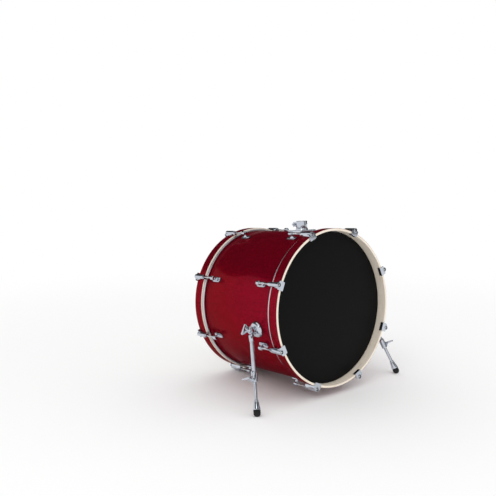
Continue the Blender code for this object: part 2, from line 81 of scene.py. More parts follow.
def addNode(tree, kind, values=None, links=None, stops=(), **settings):
    # in links, a node stands for its first output; stops are a colour ramp's
    node = tree.nodes.new(kind)
    for key, value in settings.items():
        setattr(node, key, value)
    for key, value in (values or {}).items():
        node.inputs[key].default_value = value
    for key, source in (links or {}).items():
        tree.links.new(getattr(source, "outputs", [source])[0], node.inputs[key])
    if stops:
        elements = node.color_ramp.elements
        while len(elements) < len(stops):
            elements.new(0.5)
        for element, (position, color) in zip(elements, stops):
            element.position = position
            element.color = hexColor(color)
    return node


def meshFrom(work):
    bmesh.ops.recalc_face_normals(work, faces=work.faces)
    mesh = bpy.data.meshes.new("made")
    work.to_mesh(mesh)
    work.free()
    return mesh


def rectangle(x0, x1, y0, y1):
    return [(x0, y0), (x1, y0), (x1, y1), (x0, y1)]


def arc(centre, radius, start, end, steps):
    turns = [radians(start + (end - start) * i / steps) for i in range(steps + 1)]
    return [(centre[0] + radius * cos(a), centre[1] + radius * sin(a)) for a in turns]


def rounded(points, radius, steps=4, closed=True):
    # swaps each corner for a short curve; radius is one number or one per corner
    radii = radius if isinstance(radius, (list, tuple)) else [radius] * len(points)
    made = []
    for i, (x, y) in enumerate(points):
        isEnd = not closed and i in (0, len(points) - 1)
        here = Vector((x, y))
        before = Vector(points[i - 1]) - here
        after = Vector(points[(i + 1) % len(points)]) - here
        reach = min(radii[i], before.length * 0.49, after.length * 0.49)
        if isEnd or reach <= 0:
            made.append((x, y))
            continue
        start = here + before.normalized() * reach
        end = here + after.normalized() * reach
        for k in range(steps + 1):
            t = k / steps
            made.append(tuple(start * (1 - t) ** 2 + here * 2 * t * (1 - t) + end * t**2))
    return made


def lathe(profile, sides):
    # turns (radius, height) points about Z; UVs run in metres round and across
    work = bmesh.new()
    uv = work.loops.layers.uv.new("metres")
    rings, lengths, total = [], [], 0.0
    for i, (radius, height) in enumerate(profile):
        if i:
            total += (Vector(profile[i]) - Vector(profile[i - 1])).length
        lengths.append(total)
        if radius <= 1e-7:
            rings.append([work.verts.new((0, 0, height))] * (sides + 1))
            continue
        turns = [tau * k / sides for k in range(sides)]
        ring = [work.verts.new((radius * cos(a), radius * sin(a), height)) for a in turns]
        rings.append(ring + [ring[0]])
    widest = max(point[0] for point in profile)
    pairs = list(zip(range(len(rings) - 1), range(1, len(rings))))
    isRing = profile[0][0] > 1e-7
    if isRing:
        pairs.append((len(rings) - 1, 0))
        lengths.append(total + (Vector(profile[0]) - Vector(profile[-1])).length)
    for a, b in pairs:
        for k in range(sides):
            corners = [(rings[a][k], k, lengths[a]), (rings[b][k], k, lengths[a + 1])]
            corners += [(rings[b][k + 1], k + 1, lengths[a + 1]), (rings[a][k + 1], k + 1, lengths[a])]
            unique = [c for i, c in enumerate(corners) if c[0] not in [d[0] for d in corners[:i]]]
            if len(unique) < 3:
                continue
            face = work.faces.new([c[0] for c in unique])
            for loop, (_, step, across) in zip(face.loops, unique):
                loop[uv].uv = (step / sides * tau * widest, across)
    return meshFrom(work)


def cylinder(radius, low, high, sides):
    return lathe([(0, high), (radius, high), (radius, low), (0, low)], sides)


def turnedSolid(profile, radius, steps, sides):
    # a profile that starts and ends on the axis, its corners rounded
    return lathe(rounded(profile, radius, steps, closed=False), sides)


def prism(outline, low, high):
    # a flat outline in XY raised from low to high on Z
    work = bmesh.new()
    face = work.faces.new([work.verts.new((x, y, low)) for x, y in outline])
    grown = bmesh.ops.extrude_face_region(work, geom=[face])
    raised = [item for item in grown["geom"] if isinstance(item, bmesh.types.BMVert)]
    bmesh.ops.translate(work, verts=raised, vec=(0, 0, high - low))
    return meshFrom(work)


def loft(sections):
    # skins closed rings of points that all have the same count, and closes both ends
    work = bmesh.new()
    rings = [[work.verts.new(point) for point in section] for section in sections]
    count = len(rings[0])
    for a, b in zip(rings, rings[1:]):
        for k in range(count):
            work.faces.new((a[k], a[(k + 1) % count], b[(k + 1) % count], b[k]))
    work.faces.new(rings[0])
    work.faces.new(rings[-1])
    return meshFrom(work)


def placed(mesh, matrix):
    mesh.transform(matrix)
    return mesh


def turned(axis):
    return Vector((0, 0, 1)).rotation_difference(Vector(axis)).to_matrix().to_4x4()


def frameOf(xAxis, zAxis, origin):
    xAxis, zAxis = Vector(xAxis), Vector(zAxis).normalized()
    xAxis = (xAxis - zAxis * xAxis.dot(zAxis)).normalized()
    turn = Matrix((xAxis, zAxis.cross(xAxis), zAxis)).transposed()
    return Matrix.Translation(origin) @ turn.to_4x4()


def helperObject(mesh):
    thing = bpy.data.objects.new("helper", mesh)
    bpy.context.scene.collection.objects.link(thing)
    return thing


def plainMesh(thing):
    bpy.context.view_layer.update()
    graph = bpy.context.evaluated_depsgraph_get()
    mesh = bpy.data.meshes.new_from_object(thing.evaluated_get(graph))
    bpy.data.objects.remove(thing, do_unlink=True)
    return mesh


doubles = 0.000004  # corners nearer than this are one


def joined(base, adds=(), keeps=(), cuts=(), soften=0.0, segments=3, slivers=0.00012):
    # one closed casting from simple solids, its slivers closed up and its edges rounded
    thing = helperObject(base)
    tools = []
    for operation, meshes in (("UNION", adds), ("INTERSECT", keeps), ("DIFFERENCE", cuts)):
        for mesh in meshes:
            tools.append(helperObject(mesh))
            step = thing.modifiers.new(operation, "BOOLEAN")
            step.operation = operation
            step.object = tools[-1]
    thing.modifiers.new("slivers", "WELD").merge_threshold = slivers
    if soften:
        bevel = thing.modifiers.new("soften", "BEVEL")
        bevel.width = soften
        bevel.segments = segments
        bevel.limit_method = "ANGLE"
        bevel.angle_limit = radians(32)
    thing.modifiers.new("doubles", "WELD").merge_threshold = doubles
    mesh = plainMesh(thing)
    for tool in tools:
        bpy.data.objects.remove(tool, do_unlink=True)
    return mesh


def combined(meshes):
    # separate closed solids kept in one piece
    work = bmesh.new()
    for mesh in meshes:
        work.from_mesh(mesh)
    mesh = bpy.data.meshes.new("combined")
    work.to_mesh(mesh)
    work.free()
    return mesh


def smooth(mesh):
    mesh.shade_smooth()
    mesh.set_sharp_from_angle(angle=radians(34))
    return mesh


def piece(name, mesh, material, body, nodes=()):
    smooth(mesh)
    mesh.materials.clear()
    mesh.materials.append(material)
    thing = bpy.data.objects.new(name, mesh)
    bpy.context.scene.collection.objects.link(thing)
    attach(thing, body)
    if nodes:
        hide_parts(*nodes)


# Materials


def newMaterial(name):
    material = bpy.data.materials.new(name)
    material.use_nodes = True
    material.node_tree.nodes.clear()
    return material, material.node_tree


def finished(material, values, links):
    shader = addNode(material.node_tree, "ShaderNodeBsdfPrincipled", values, links)
    addNode(material.node_tree, "ShaderNodeOutputMaterial", links={"Surface": shader})
    return material


def turnedGrain(tree, runMm, grainMm, detail):
    # grain that follows a turned piece: long round it and fine across
    metres = addNode(tree, "ShaderNodeUVMap", uv_map="metres")
    scale = {"Scale": (1000 / runMm, 1000 / grainMm, 1.0)}
    stretch = addNode(tree, "ShaderNodeMapping", scale, {"Vector": metres})
    return addNode(tree, "ShaderNodeTexNoise", {"Scale": 1.0, "Detail": detail}, {"Vector": stretch})


def sparkleWrap():
    # plastic sheet with metal flake under a clear gloss: deep red body, glitter, mirror-like top coat
    look = {
        "deep": "#5c0415",
        "mid": "#7b081e",
        "bright": "#a2102b",
        "edge": "#a03c52",
        "flakeMm": 1.6,  # coarser than real flake, which is too fine for the picture
        "streakMm": 60,
    }
    material, tree = newMaterial("sparkle_wrap_red")
    coords = addNode(tree, "ShaderNodeTexCoord").outputs["Object"]
    cells = addNode(tree, "ShaderNodeTexVoronoi", {"Scale": 1000 / look["flakeMm"]}, {"Vector": coords})
    flakes = addNode(tree, "ShaderNodeSeparateColor", links={"Color": cells.outputs["Color"]}).outputs
    stops = [(0.0, look["deep"]), (0.45, look["mid"]), (1.0, look["bright"])]
    color = addNode(tree, "ShaderNodeValToRGB", links={"Fac": flakes["Red"]}, stops=stops)
    drift = {"Scale": 1000 / look["streakMm"], "Detail": 3.0}
    streaks = addNode(tree, "ShaderNodeTexNoise", drift, {"Vector": coords})
    shade = addNode(tree, "ShaderNodeMapRange", {"To Min": 0.86, "To Max": 1.10}, {"Value": streaks})
    hue = addNode(tree, "ShaderNodeHueSaturation", links={"Color": color, "Value": shade})
    tilt = addNode(tree, "ShaderNodeBump", {"Strength": 0.2, "Distance": 0.0006}, {"Height": flakes["Green"]})
    values = {"Metallic": 0.6, "Roughness": 0.16, "Specular IOR Level": 0.0}
    values |= {"Specular Tint": hexColor(look["edge"])}
    values |= {"Coat Weight": 0.08, "Coat Roughness": 0.03, "Coat IOR": 1.49}
    return finished(material, values, {"Base Color": hue, "Normal": tilt})


def mapleGrain():
    # bent maple ply, clear satin lacquer: pale cream with fine grain that runs round the hoop
    look = {"pale": "#f8f0e4", "mid": "#f1e5d4", "dark": "#dfceb5", "grainMm": 1.6, "runMm": 55}
    material, tree = newMaterial("maple_satin")
    grain = turnedGrain(tree, look["runMm"], look["grainMm"], 5.0)
    stops = [(0.32, look["dark"]), (0.47, look["mid"]), (0.68, look["pale"])]
    color = addNode(tree, "ShaderNodeValToRGB", links={"Fac": grain}, stops=stops)
    pores = addNode(tree, "ShaderNodeBump", {"Strength": 0.12, "Distance": 0.0003}, {"Height": grain})
    return finished(material, {"Roughness": 0.42, "IOR": 1.5}, {"Base Color": color, "Normal": pores})


def filmFinish(name, color, fleck, grainMm, roughness, specular, grainHeight):
    # stretched polyester film: flat colour with a faint grain from its coating
    material, tree = newMaterial(name)
    coords = addNode(tree, "ShaderNodeTexCoord").outputs["Object"]
    grain = addNode(tree, "ShaderNodeTexNoise", {"Scale": 1000 / grainMm, "Detail": 3.0}, {"Vector": coords})
    stops = [(0.0, color), (1.0, fleck)]
    sheen = {"To Min": roughness - 0.05, "To Max": roughness + 0.05}
    height = {"Strength": 0.2, "Distance": grainHeight}
    links = {
        "Base Color": addNode(tree, "ShaderNodeValToRGB", links={"Fac": grain}, stops=stops),
        "Roughness": addNode(tree, "ShaderNodeMapRange", sheen, {"Value": grain}),
        "Normal": addNode(tree, "ShaderNodeBump", height, {"Height": grain}),
    }
    return finished(material, {"Specular IOR Level": specular}, links)


def metalFinish(name, color, stain, roughness, spread, cloudMm, lineMm=0.0):
    # plated or bare metal: colour and polish drift a little, and rolled metal keeps its fine lines
    material, tree = newMaterial(name)
    coords = addNode(tree, "ShaderNodeTexCoord").outputs["Object"]
    cloud = addNode(tree, "ShaderNodeTexNoise", {"Scale": 1000 / cloudMm, "Detail": 4.0}, {"Vector": coords})
    stops = [(0.0, stain), (0.6, color)]
    polish = {"To Min": roughness - spread, "To Max": roughness + spread}
    links = {
        "Base Color": addNode(tree, "ShaderNodeValToRGB", links={"Fac": cloud}, stops=stops),
        "Roughness": addNode(tree, "ShaderNodeMapRange", polish, {"Value": cloud}),
    }
    if lineMm:
        lines = turnedGrain(tree, 125, lineMm, 2.0)
        height = {"Strength": 0.15, "Distance": 0.0002}
        links["Normal"] = addNode(tree, "ShaderNodeBump", height, {"Height": lines})
    return finished(material, {"Metallic": 1.0}, links)


def rubberFinish():
    # moulded black rubber: matt, with a fine stipple and a dusty bloom
    look = {"black": "#0f0f10", "bloom": "#1e1e20", "stippleMm": 0.9}
    material, tree = newMaterial("rubber_moulded_black")
    coords = addNode(tree, "ShaderNodeTexCoord").outputs["Object"]
    size = {"Scale": 1000 / look["stippleMm"], "Detail": 4.0}
    stipple = addNode(tree, "ShaderNodeTexNoise", size, {"Vector": coords})
    stops = [(0.0, look["black"]), (1.0, look["bloom"])]
    color = addNode(tree, "ShaderNodeValToRGB", links={"Fac": stipple}, stops=stops)
    bumps = addNode(tree, "ShaderNodeBump", {"Strength": 0.3, "Distance": 0.0003}, {"Height": stipple})
    values = {"Roughness": 0.68, "Specular IOR Level": 0.35}
    return finished(material, values, {"Base Color": color, "Normal": bumps})


wrapRed = sparkleWrap()
maple = mapleGrain()
blackFilm = filmFinish("polyester_film_black", "#0d0d0e", "#121213", 1.2, 0.5, 0.06, 0.0001)
whiteFilm = filmFinish("polyester_film_coated_white", "#d3d0c8", "#e4e1da", 2.0, 0.66, 0.4, 0.0003)
chrome = metalFinish("chrome_plate", "#c6cbd4", "#b2b8c3", 0.06, 0.025, 30)
aluminium = metalFinish("aluminium_rolled", "#d3d5da", "#c0c3c9", 0.38, 0.05, 40, lineMm=0.5)
zincSteel = metalFinish("steel_zinc_plated", "#c9cccf", "#a9adb2", 0.20, 0.06, 12)
rubber = rubberFinish()
print("materials made:", len(bpy.data.materials))

# Tension stations: one mesh copied round both ends of the drum


def stationTree():
    tree = bpy.data.node_groups.new("tensionStations", "GeometryNodeTree")
    tree.interface.new_socket("Geometry", in_out="OUTPUT", socket_type="NodeSocketGeometry")
    sockets = {"source": "NodeSocketObject", "stations": "NodeSocketInt", "layDown": "NodeSocketVector"}
    sockets |= {"centre": "NodeSocketVector", "finish": "NodeSocketMaterial"}
    for name, kind in sockets.items():
        tree.interface.new_socket(name, in_out="INPUT", socket_type=kind)
    given = addNode(tree, "NodeGroupInput").outputs
    count = given["stations"]
    both = addNode(tree, "ShaderNodeMath", {1: 2.0}, {0: count}, operation="MULTIPLY")
    points = addNode(tree, "GeometryNodePoints", links={"Count": both})
    # the first half of the points is the front, the second half the rear
    index = addNode(tree, "GeometryNodeInputIndex")
    ratio = addNode(tree, "ShaderNodeMath", links={0: index, 1: count}, operation="DIVIDE")
    isRear = addNode(tree, "ShaderNodeMath", links={0: ratio}, operation="FLOOR")
    step = addNode(tree, "ShaderNodeMath", links={0: ratio}, operation="FRACT")
    # half a step off the vertical, and turned end for end at the rear
    offset = addNode(tree, "ShaderNodeMath", {0: 0.5}, {1: count}, operation="DIVIDE")
    share = addNode(tree, "ShaderNodeMath", links={0: step, 1: offset}, operation="ADD")
    angle = addNode(tree, "ShaderNodeMath", {1: tau}, {0: share}, operation="MULTIPLY")
    sense = addNode(tree, "ShaderNodeMath", {1: -2.0, 2: 1.0}, {0: isRear}, operation="MULTIPLY_ADD")
    around = addNode(tree, "ShaderNodeMath", links={0: angle, 1: sense}, operation="MULTIPLY")
    flip = addNode(tree, "ShaderNodeMath", {1: pi}, {0: isRear}, operation="MULTIPLY")
    euler = addNode(tree, "ShaderNodeCombineXYZ", links={"X": flip, "Z": around})
    turn = addNode(tree, "FunctionNodeEulerToRotation", links={0: euler})
    source = addNode(tree, "GeometryNodeObjectInfo", links={"Object": given["source"]})
    links = {"Points": points, "Instance": source.outputs["Geometry"], "Rotation": turn}
    copies = addNode(tree, "GeometryNodeInstanceOnPoints", links=links)
    solid = addNode(tree, "GeometryNodeRealizeInstances", links={"Geometry": copies})
    lay = addNode(tree, "FunctionNodeEulerToRotation", links={0: given["layDown"]})
    links = {"Geometry": solid, "Translation": given["centre"], "Rotation": lay}
    laid = addNode(tree, "GeometryNodeTransform", links=links)
    finish = addNode(tree, "GeometryNodeSetMaterial", links={"Geometry": laid, "Material": given["finish"]})
    addNode(tree, "NodeGroupOutput", links={0: finish})
    return tree


stations = {"count": 8, "tree": stationTree()}


def atStations(name, mesh, material, nodes=()):
    source = helperObject(smooth(mesh))
    carrier = helperObject(bpy.data.meshes.new("carrier"))
    modifier = carrier.modifiers.new("stations", "NODES")
    modifier.node_group = stations["tree"]
    values = {
        "source": source,
        "stations": stations["count"],
        "layDown": (pi / 2 - stance["frontLift"], 0.0, 0.0),
        "centre": stance["centre"],
        "finish": material,
    }
    for item in stations["tree"].interface.items_tree:
        if item.in_out == "INPUT":
            modifier[item.identifier] = values[item.name]
    made = plainMesh(carrier)
    bpy.data.objects.remove(source, do_unlink=True)
    piece(name, made, material, "drum", nodes)


def nodesLike(word):
    return [node for node in frame["nodes"] if word in node]


# Shell: maple ply under the wrap, with a hole for the tom post


def postFrame():
    # where the post's axis meets the crown of the shell: Z up, X forward
    origin = (0, drum["shellRadius"], drum["halfDepth"] - drum["postSetback"])
    return frameOf((0, 0, 1), (0, 1, 0), origin)


def buildShell():
    size = {"wall": 0.0075, "wrap": 0.00055, "crest": 0.002, "postHole": 0.0135, "ease": 0.0006}
    half, outer = drum["halfDepth"], drum["shellRadius"]
    inner, under = outer - size["wall"], outer - size["wrap"]
    slope = size["wall"] - size["crest"]
    edge = [(under - 0.00005, half - size["ease"]), (outer - size["crest"], half), (inner, half - slope)]
    outline = edge[:1] + [(r, -h) for r, h in edge] + edge[:0:-1]
    ply = lathe(rounded(outline, 0.0012, 3), drum["roundSides"])
    wrapEnd = half - 0.0008
    skin = lathe(rounded(rectangle(outer, under, wrapEnd, -wrapEnd), 0.0003, 2), drum["roundSides"])
    for name, mesh, material, slot, nodes in (
        ("shell_wrap", skin, wrapRed, "red_wrap", ["shell"]),
        ("shell_ply", ply, maple, "maple", []),
    ):
        hole = placed(cylinder(size["postHole"], -0.02, 0.02, 48), postFrame())
        drilled = joined(mesh, cuts=[hole], slivers=doubles)
        piece(name, placed(drilled, toWorld), material, "drum", nodes)


buildShell()
print("shell built")

ends = {"front": Matrix(), "rear": Matrix.Rotation(pi, 4, "X")}

# Hoops: bent maple with the wrap let into the outside


def buildHoops():
    size = {"wrap": 0.0007, "lap": 0.00005, "bareEdge": 0.0012, "round": 0.0018}
    outer = drum["hoopRadius"]
    under = outer - size["wrap"]
    wood = rounded(rectangle(under, hoopInner, hoopFace, hoopBack), size["round"])
    low, high = hoopBack + size["bareEdge"], hoopFace - size["bareEdge"]
    band = rounded(rectangle(outer, under + size["lap"], high, low), 0.0003, 2)
    for end, flip in ends.items():
        core = placed(lathe(wood, drum["roundSides"]), toWorld @ flip)
        piece(f"{end}_hoop_maple", core, maple, "drum", [f"{end}_hoop"])
        strip = placed(lathe(band, drum["roundSides"]), toWorld @ flip)
        piece(f"{end}_hoop_wrap", strip, wrapRed, "drum")


buildHoops()
print("hoops built")

# Heads: film drawn over the bearing edge into an aluminium channel


def buildHeads():
    size = {"film": 0.0005, "roll": 0.0035, "collarWall": 0.0055, "collarHeight": 0.0098}
    under = drum["halfDepth"] + fit
    inner = drum["shellRadius"] + fit
    over, outer = under + size["film"], inner + size["film"]
    skirtLow = hoopBack - size["collarHeight"] * 0.75
    skin = rounded([(0.0, over), (outer, over), (outer, skirtLow)], size["roll"], 5, closed=False)
    lining = [(inner, skirtLow), (inner, under), (0.0, under)]
    skin += rounded(lining, size["roll"] - size["film"], 5, closed=False)
    collarIn, top = outer + fit, hoopBack - fit
    collarOut, low = collarIn + size["collarWall"], top - size["collarHeight"]
    # closed side of the channel, towards the middle of the drum
    corners = [0.0006, 0.0018, 0.0024, 0.0012]
    channel = rounded([(collarIn, top), (collarOut, top), (collarOut, low), (collarIn, low)], corners)
    films = {"front": (blackFilm, "black_film"), "rear": (whiteFilm, "white_film")}
    for end, flip in ends.items():
        film, slot = films[end]
        disc = placed(lathe(skin, drum["roundSides"]), toWorld @ flip)
        piece(f"{end}_film", disc, film, "drum", [f"{end}_head_film"])
        ring = placed(lathe(channel, drum["roundSides"]), toWorld @ flip)
        piece(f"{end}_collar", ring, aluminium, "drum", [f"{end}_head_collar"])


buildHeads()
print("heads built")

# Tension hardware, drawn at one station: X outwards, Y along the rim, Z towards the hoop

rodLine = drum["hoopRadius"] + 0.0085
toRod = Matrix.Translation((rodLine, 0, 0))
lug = {
    "setback": 0.048,  # bearing edge to the near end of the base
    "length": 0.047,
    "width": 0.020,
    "base": 0.0045,
    "gasket": 0.0011,
    "step": 0.0032,
    "trim": 0.0008,
    "field": 0.0042,
    "lead": 0.003,  # middle of the boss ahead of the middle of the base
    "bossRadius": 0.0084,
    "bossLength": 0.015,
    "mouthRadius": 0.0046,
    "mouthLength": 0.005,
    "rodEntry": 0.014,
    "bore": 0.0034,
}
lugMiddle = drum["halfDepth"] - lug["setback"] - lug["length"] / 2
bossMiddle = lugMiddle + lug["lead"]
lugMouth = bossMiddle + lug["bossLength"] / 2 + lug["mouthLength"]
rodLow = lugMouth - lug["rodEntry"]


def ovalOutline(length, width, steps=10):
    middle = length / 2 - width / 2
    return arc((0, middle), width / 2, 0, 180, steps) + arc((0, -middle), width / 2, 180, 360, steps)


def buildLugs():
    seat = drum["shellRadius"] + fit
    # the outline's Y runs along the drum and its height outwards
    stand = Matrix(((0, 0, 1), (1, 0, 0), (0, 1, 0))).to_4x4()
    lie = Matrix.Translation((seat, 0, lugMiddle)) @ stand

    def layer(inset, low, high):
        return placed(prism(ovalOutline(lug["length"] - inset, lug["width"] - inset), low, high), lie)

    pad = layer(0, -0.0002, lug["gasket"])
    atStations("lug_gaskets", joined(pad, soften=0.0003, segments=2), rubber)
    base = layer(lug["trim"], lug["gasket"], lug["step"])
    field = layer(lug["field"], lug["step"] - 0.0008, lug["base"])
    # oval stem, waisted between its flared foot and the boss: share of the height, half width, half depth
    low = seat + lug["base"] * 0.6
    waist = [(0.0, 0.0076, 0.0125), (0.14, 0.0058, 0.0090), (0.35, 0.0047, 0.0066)]
    waist += [(0.7, 0.0048, 0.0058), (1.0, 0.0056, 0.0058)]
    turns = [tau * k / 20 for k in range(20)]
    stem = loft(
        [(low + (rodLine - low) * t, wide * cos(a), bossMiddle + deep * sin(a)) for a in turns]
        for t, wide, deep in waist
    )
    # ball-like boss with a short mouth for the rod
    near, rear = bossMiddle + lug["bossLength"] / 2, bossMiddle - lug["bossLength"] / 2
    radius, mouth = lug["bossRadius"], lug["mouthRadius"]
    profile = [(0, lugMouth), (mouth, lugMouth), (mouth, near), (radius, near), (radius, rear), (0, rear)]
    boss = turnedSolid(profile, [0, 0.0008, 0.0012, 0.0055, 0.0065, 0], 6, 36)
    bore = cylinder(lug["bore"], rodLow - 0.001, far, 20)
    adds = [field, stem, placed(boss, toRod)]
    casting = joined(base, adds=adds, cuts=[placed(bore, toRod)], soften=0.0006)
    atStations("lug_castings", casting, chrome, nodesLike("_lug_"))


buildLugs()
print("lugs built")

claw = {
    "width": 0.032,  # hook over the hoop's face
    "body": 0.027,
    "nose": 0.0165,
    "height": 0.0145,
    "plate": 0.0034,
    "reach": 0.010,  # nose past the back of the hoop
    "lip": 0.0032,
    "lipGap": 0.0012,
    "lipDepth": 0.009,
    "seat": 0.0064,
    "seatDepth": 0.013,
    "rim": 0.0088,
    "rimRise": 0.0012,
    "hole": 0.0035,
    "inset": 0.0006,  # keeps the solids' faces from lying on each other
}
clawTop = hoopFace + fit + claw["plate"]


def clawBody(low, nose):
    # arched: wide and low at the hoop's face, narrow and tall at the nose
    steps = 12
    sections = []
    for k in range(steps + 1):
        t = k / steps
        along = nose + (clawTop - claw["inset"] - nose) * t
        wide = claw["nose"] / 2 + (claw["body"] - claw["nose"]) / 2 * t**1.5
        if k == 0:
            wide *= 0.82
        high = claw["height"] * (1.0 - 0.15 * t)
        arch = [radians(a) for a in (0.01, 20, 42, 66, 90, 114, 138, 160, 179.99)]
        ring = [(low, -wide, along), (low, wide, along)]
        ring += [(low + high * (0.34 + 0.66 * sin(a) ** 0.8), wide * cos(a), along) for a in arch]
        sections.append(ring)
    return loft(sections)


def buildClaws():
    low = drum["hoopRadius"] + fit
    nose = hoopBack - claw["reach"]
    half = claw["width"] / 2
    lipHigh = sqrt(hoopInner**2 - half**2) - claw["lipGap"]
    lipLow = lipHigh - claw["lip"]
    topHigh = low + claw["height"] * 0.62
    hook = prism(rounded(rectangle(lipLow, topHigh, -half, half), 0.004), clawTop - claw["plate"], clawTop)
    inner = half - claw["inset"]
    lipOutline = rounded(rectangle(lipLow + claw["inset"], lipHigh, -inner, inner), 0.0012, 2)
    lip = prism(lipOutline, hoopFace - claw["lipDepth"], clawTop - 0.001)
    rimTop, rimLow = clawTop + claw["rimRise"], nose + 0.006
    profile = [(0, rimTop), (claw["rim"], rimTop), (claw["rim"], rimLow), (0, rimLow)]
    rim = placed(turnedSolid(profile, 0.0012, 3, 32), toRod)
    # the rim is kept off the hoop
    clear = prism(rectangle(low - 0.02, low, -0.03, 0.03), nose - 0.01, hoopFace + fit)
    seat = placed(cylinder(claw["seat"], clawTop - claw["seatDepth"], far, 30), toRod)
    through = placed(cylinder(claw["hole"], 0.1, far, 20), toRod)
    outside = joined(clawBody(low, nose), adds=[rim], cuts=[clear])
    casting = joined(outside, adds=[hook, lip], cuts=[seat, through])
    atStations("claw_hooks", casting, chrome, nodesLike("_claw_"))
    # gasket between the claw and the wood: over the face and down the inside of the hoop
    flat = rounded(rectangle(lipHigh - 0.0004, low + 0.002, 0.002 - half, half - 0.002), 0.002, 3)
    face = prism(flat, hoopFace - 0.0002, hoopFace + 0.0006)
    wide = half + 0.0006
    strip = rounded(rectangle(lipHigh - 0.0006, hoopInner - 0.0011, -wide, wide), 0.0004, 2)
    inside = prism(strip, hoopFace - claw["lipDepth"] - 0.002, hoopFace - 0.0005)
    atStations("claw_gaskets", joined(face, adds=[inside]), rubber)


buildClaws()
print("claws built")


def threadedShank(radius, high, plainLow, low, pitch, depth, sides):
    # plain from high to plainLow, cut thread from there down to low
    profile = [(0.0, high), (radius, high), (radius, plainLow)]
    for k in range(int((plainLow - low) / pitch)):
        profile += [(radius - depth, plainLow - (k + 0.5) * pitch), (radius, plainLow - (k + 1) * pitch)]
    profile += [(radius - depth, low), (0.0, low)]
    return lathe(profile, sides)


def buildRods():
    size = {"radius": 0.003, "thread": 0.034, "pitch": 0.0012, "square": 0.0032, "flange": 0.0058}
    size |= {"flangeHeight": 0.0042, "keyHeight": 0.0125, "nut": 0.0042, "nutRise": 0.0012}
    seat = clawTop - claw["seatDepth"] + fit
    plainLow, top = rodLow + size["thread"], seat + size["flangeHeight"]
    shank = threadedShank(size["radius"], seat + 0.001, plainLow, rodLow, size["pitch"], 0.00045, 14)
    wide = size["flange"]
    profile = [(0, top), (wide - 0.0008, top), (wide, seat + 0.0012), (wide, seat), (0, seat)]
    flange = turnedSolid(profile, 0.0006, 2, 28)
    square = rounded(rectangle(-size["square"], size["square"], -size["square"], size["square"]), 0.0006, 2)
    key = prism(square, seat + 0.003, seat + size["keyHeight"])
    head = joined(flange, adds=[key], soften=0.0003, segments=2)
    atStations("tension_rods", placed(combined([shank, head]), toRod), zincSteel)
    ring = rectangle(0.0031, size["nut"], lugMouth + size["nutRise"], lugMouth - 0.001)
    nut = lathe(rounded(ring, 0.0004, 2), 24)
    atStations("swivel_nuts", placed(nut, toRod), zincSteel)


buildRods()
print("rods built")

# Wing bolts

wing = {
    "hub": 0.0095,
    "height": 0.013,
    "span": 0.040,
    "rise": 0.030,
    "thick": 0.0045,
    "bar": 0.006,
    "root": 0.0045,
    "rootLow": 0.004,
    "windowLow": 0.0165,
    "windowHalf": 0.0085,
    "pitch": 0.00125,
    "threadDepth": 0.0004,
}


def wingBolt(shankRadius, shankLength):
    # hub and wings above Z = 0, threaded shank below
    hub, height = wing["hub"], wing["height"]
    profile = [(0, height), (hub * 0.55, height), (hub * 0.72, height * 0.45), (hub, height * 0.32)]
    base = turnedSolid(profile + [(hub, 0), (0, 0)], [0, 0.002, 0.002, 0.0012, 0.0008, 0], 4, 36)
    half, barLow = wing["span"] / 2, wing["rise"] - wing["bar"]
    right = [(wing["root"], wing["rootLow"]), (half, barLow), (half, wing["rise"])]
    corners = [0.001, 0.003, 0.003]
    outline = rounded(right + [(-x, y) for x, y in reversed(right)], corners + corners[::-1], 5)
    gap = wing["windowHalf"]
    window = rounded([(0, wing["windowLow"]), (gap, barLow), (-gap, barLow)], 0.0016)
    stand = Matrix.Rotation(pi / 2, 4, "X")
    wings = placed(prism(outline, -wing["thick"] / 2, wing["thick"] / 2), stand)
    opening = placed(prism(window, -wing["thick"], wing["thick"]), stand)
    head = joined(base, adds=[wings], cuts=[opening], soften=0.0011)
    shank = threadedShank(shankRadius, 0.002, 0.0, -shankLength, wing["pitch"], wing["threadDepth"], 20)
    return combined([head, shank])


# Spurs, the left one from its own joints and the right one its mirror

spur = {
    "station": radians(190.6),  # left bracket's place round the shell
    "domeRadius": 0.029,
    "domeHeight": 0.0155,
    "domeTop": 0.017,
    "domeShoulder": 0.0255,
    "pad": 0.0011,
    "pivotOut": 0.014,
    "pivotRadius": 0.0135,
    "headRadius": 0.0125,
    "headThickness": 0.013,
    "neck": 0.0062,
    "sleeveTop": 0.0102,
    "sleeveEnd": 0.0084,
    "sleeveLength": 0.040,
    "tube": 0.0071,
    "tubeLength": 0.152,
    "rod": 0.0057,
    "rodInside": 0.045,
    "clampRadius": 0.0110,
    "clampLength": 0.038,
    "clampOverlap": 0.010,
    "clampBoss": 0.0072,
    "clampSlit": 0.0011,
    "screwRise": 0.010,
    "coneTop": 0.0082,
    "coneEnd": 0.0128,
    "coneLength": 0.032,
    "tip": 0.0122,
    "tipLength": 0.011,
    "tipFlat": 0.002,
    "lockTurn": radians(35),  # wings of the lock bolt, from the line of the leg
    "bolt": 0.004,
    "boltGrip": 0.009,
    "screw": 0.003,
}


def legFrame():
    # Z up the leg, X out along the pivot
    line = -Vector(joints["left_spur_extend"]["axis"])
    return frameOf(joints["left_lock_bolt_turn"]["axis"], line, joints["left_spur_fold"]["pos_m"])


leg = legFrame()
legReach = (spur["tip"] - spur["tipFlat"] - leg.translation.z) / -leg.col[2].z
clampLow = spur["clampOverlap"] - spur["tubeLength"] - spur["clampLength"]
sideways = turned((1, 0, 0))


def shellRoom(place, standOff):
    # the room that the shell takes up, in the frame of a piece fitted to it
    room = cylinder(drum["shellRadius"] + standOff, -far, far, drum["roundSides"])
    return placed(room, place.inverted())


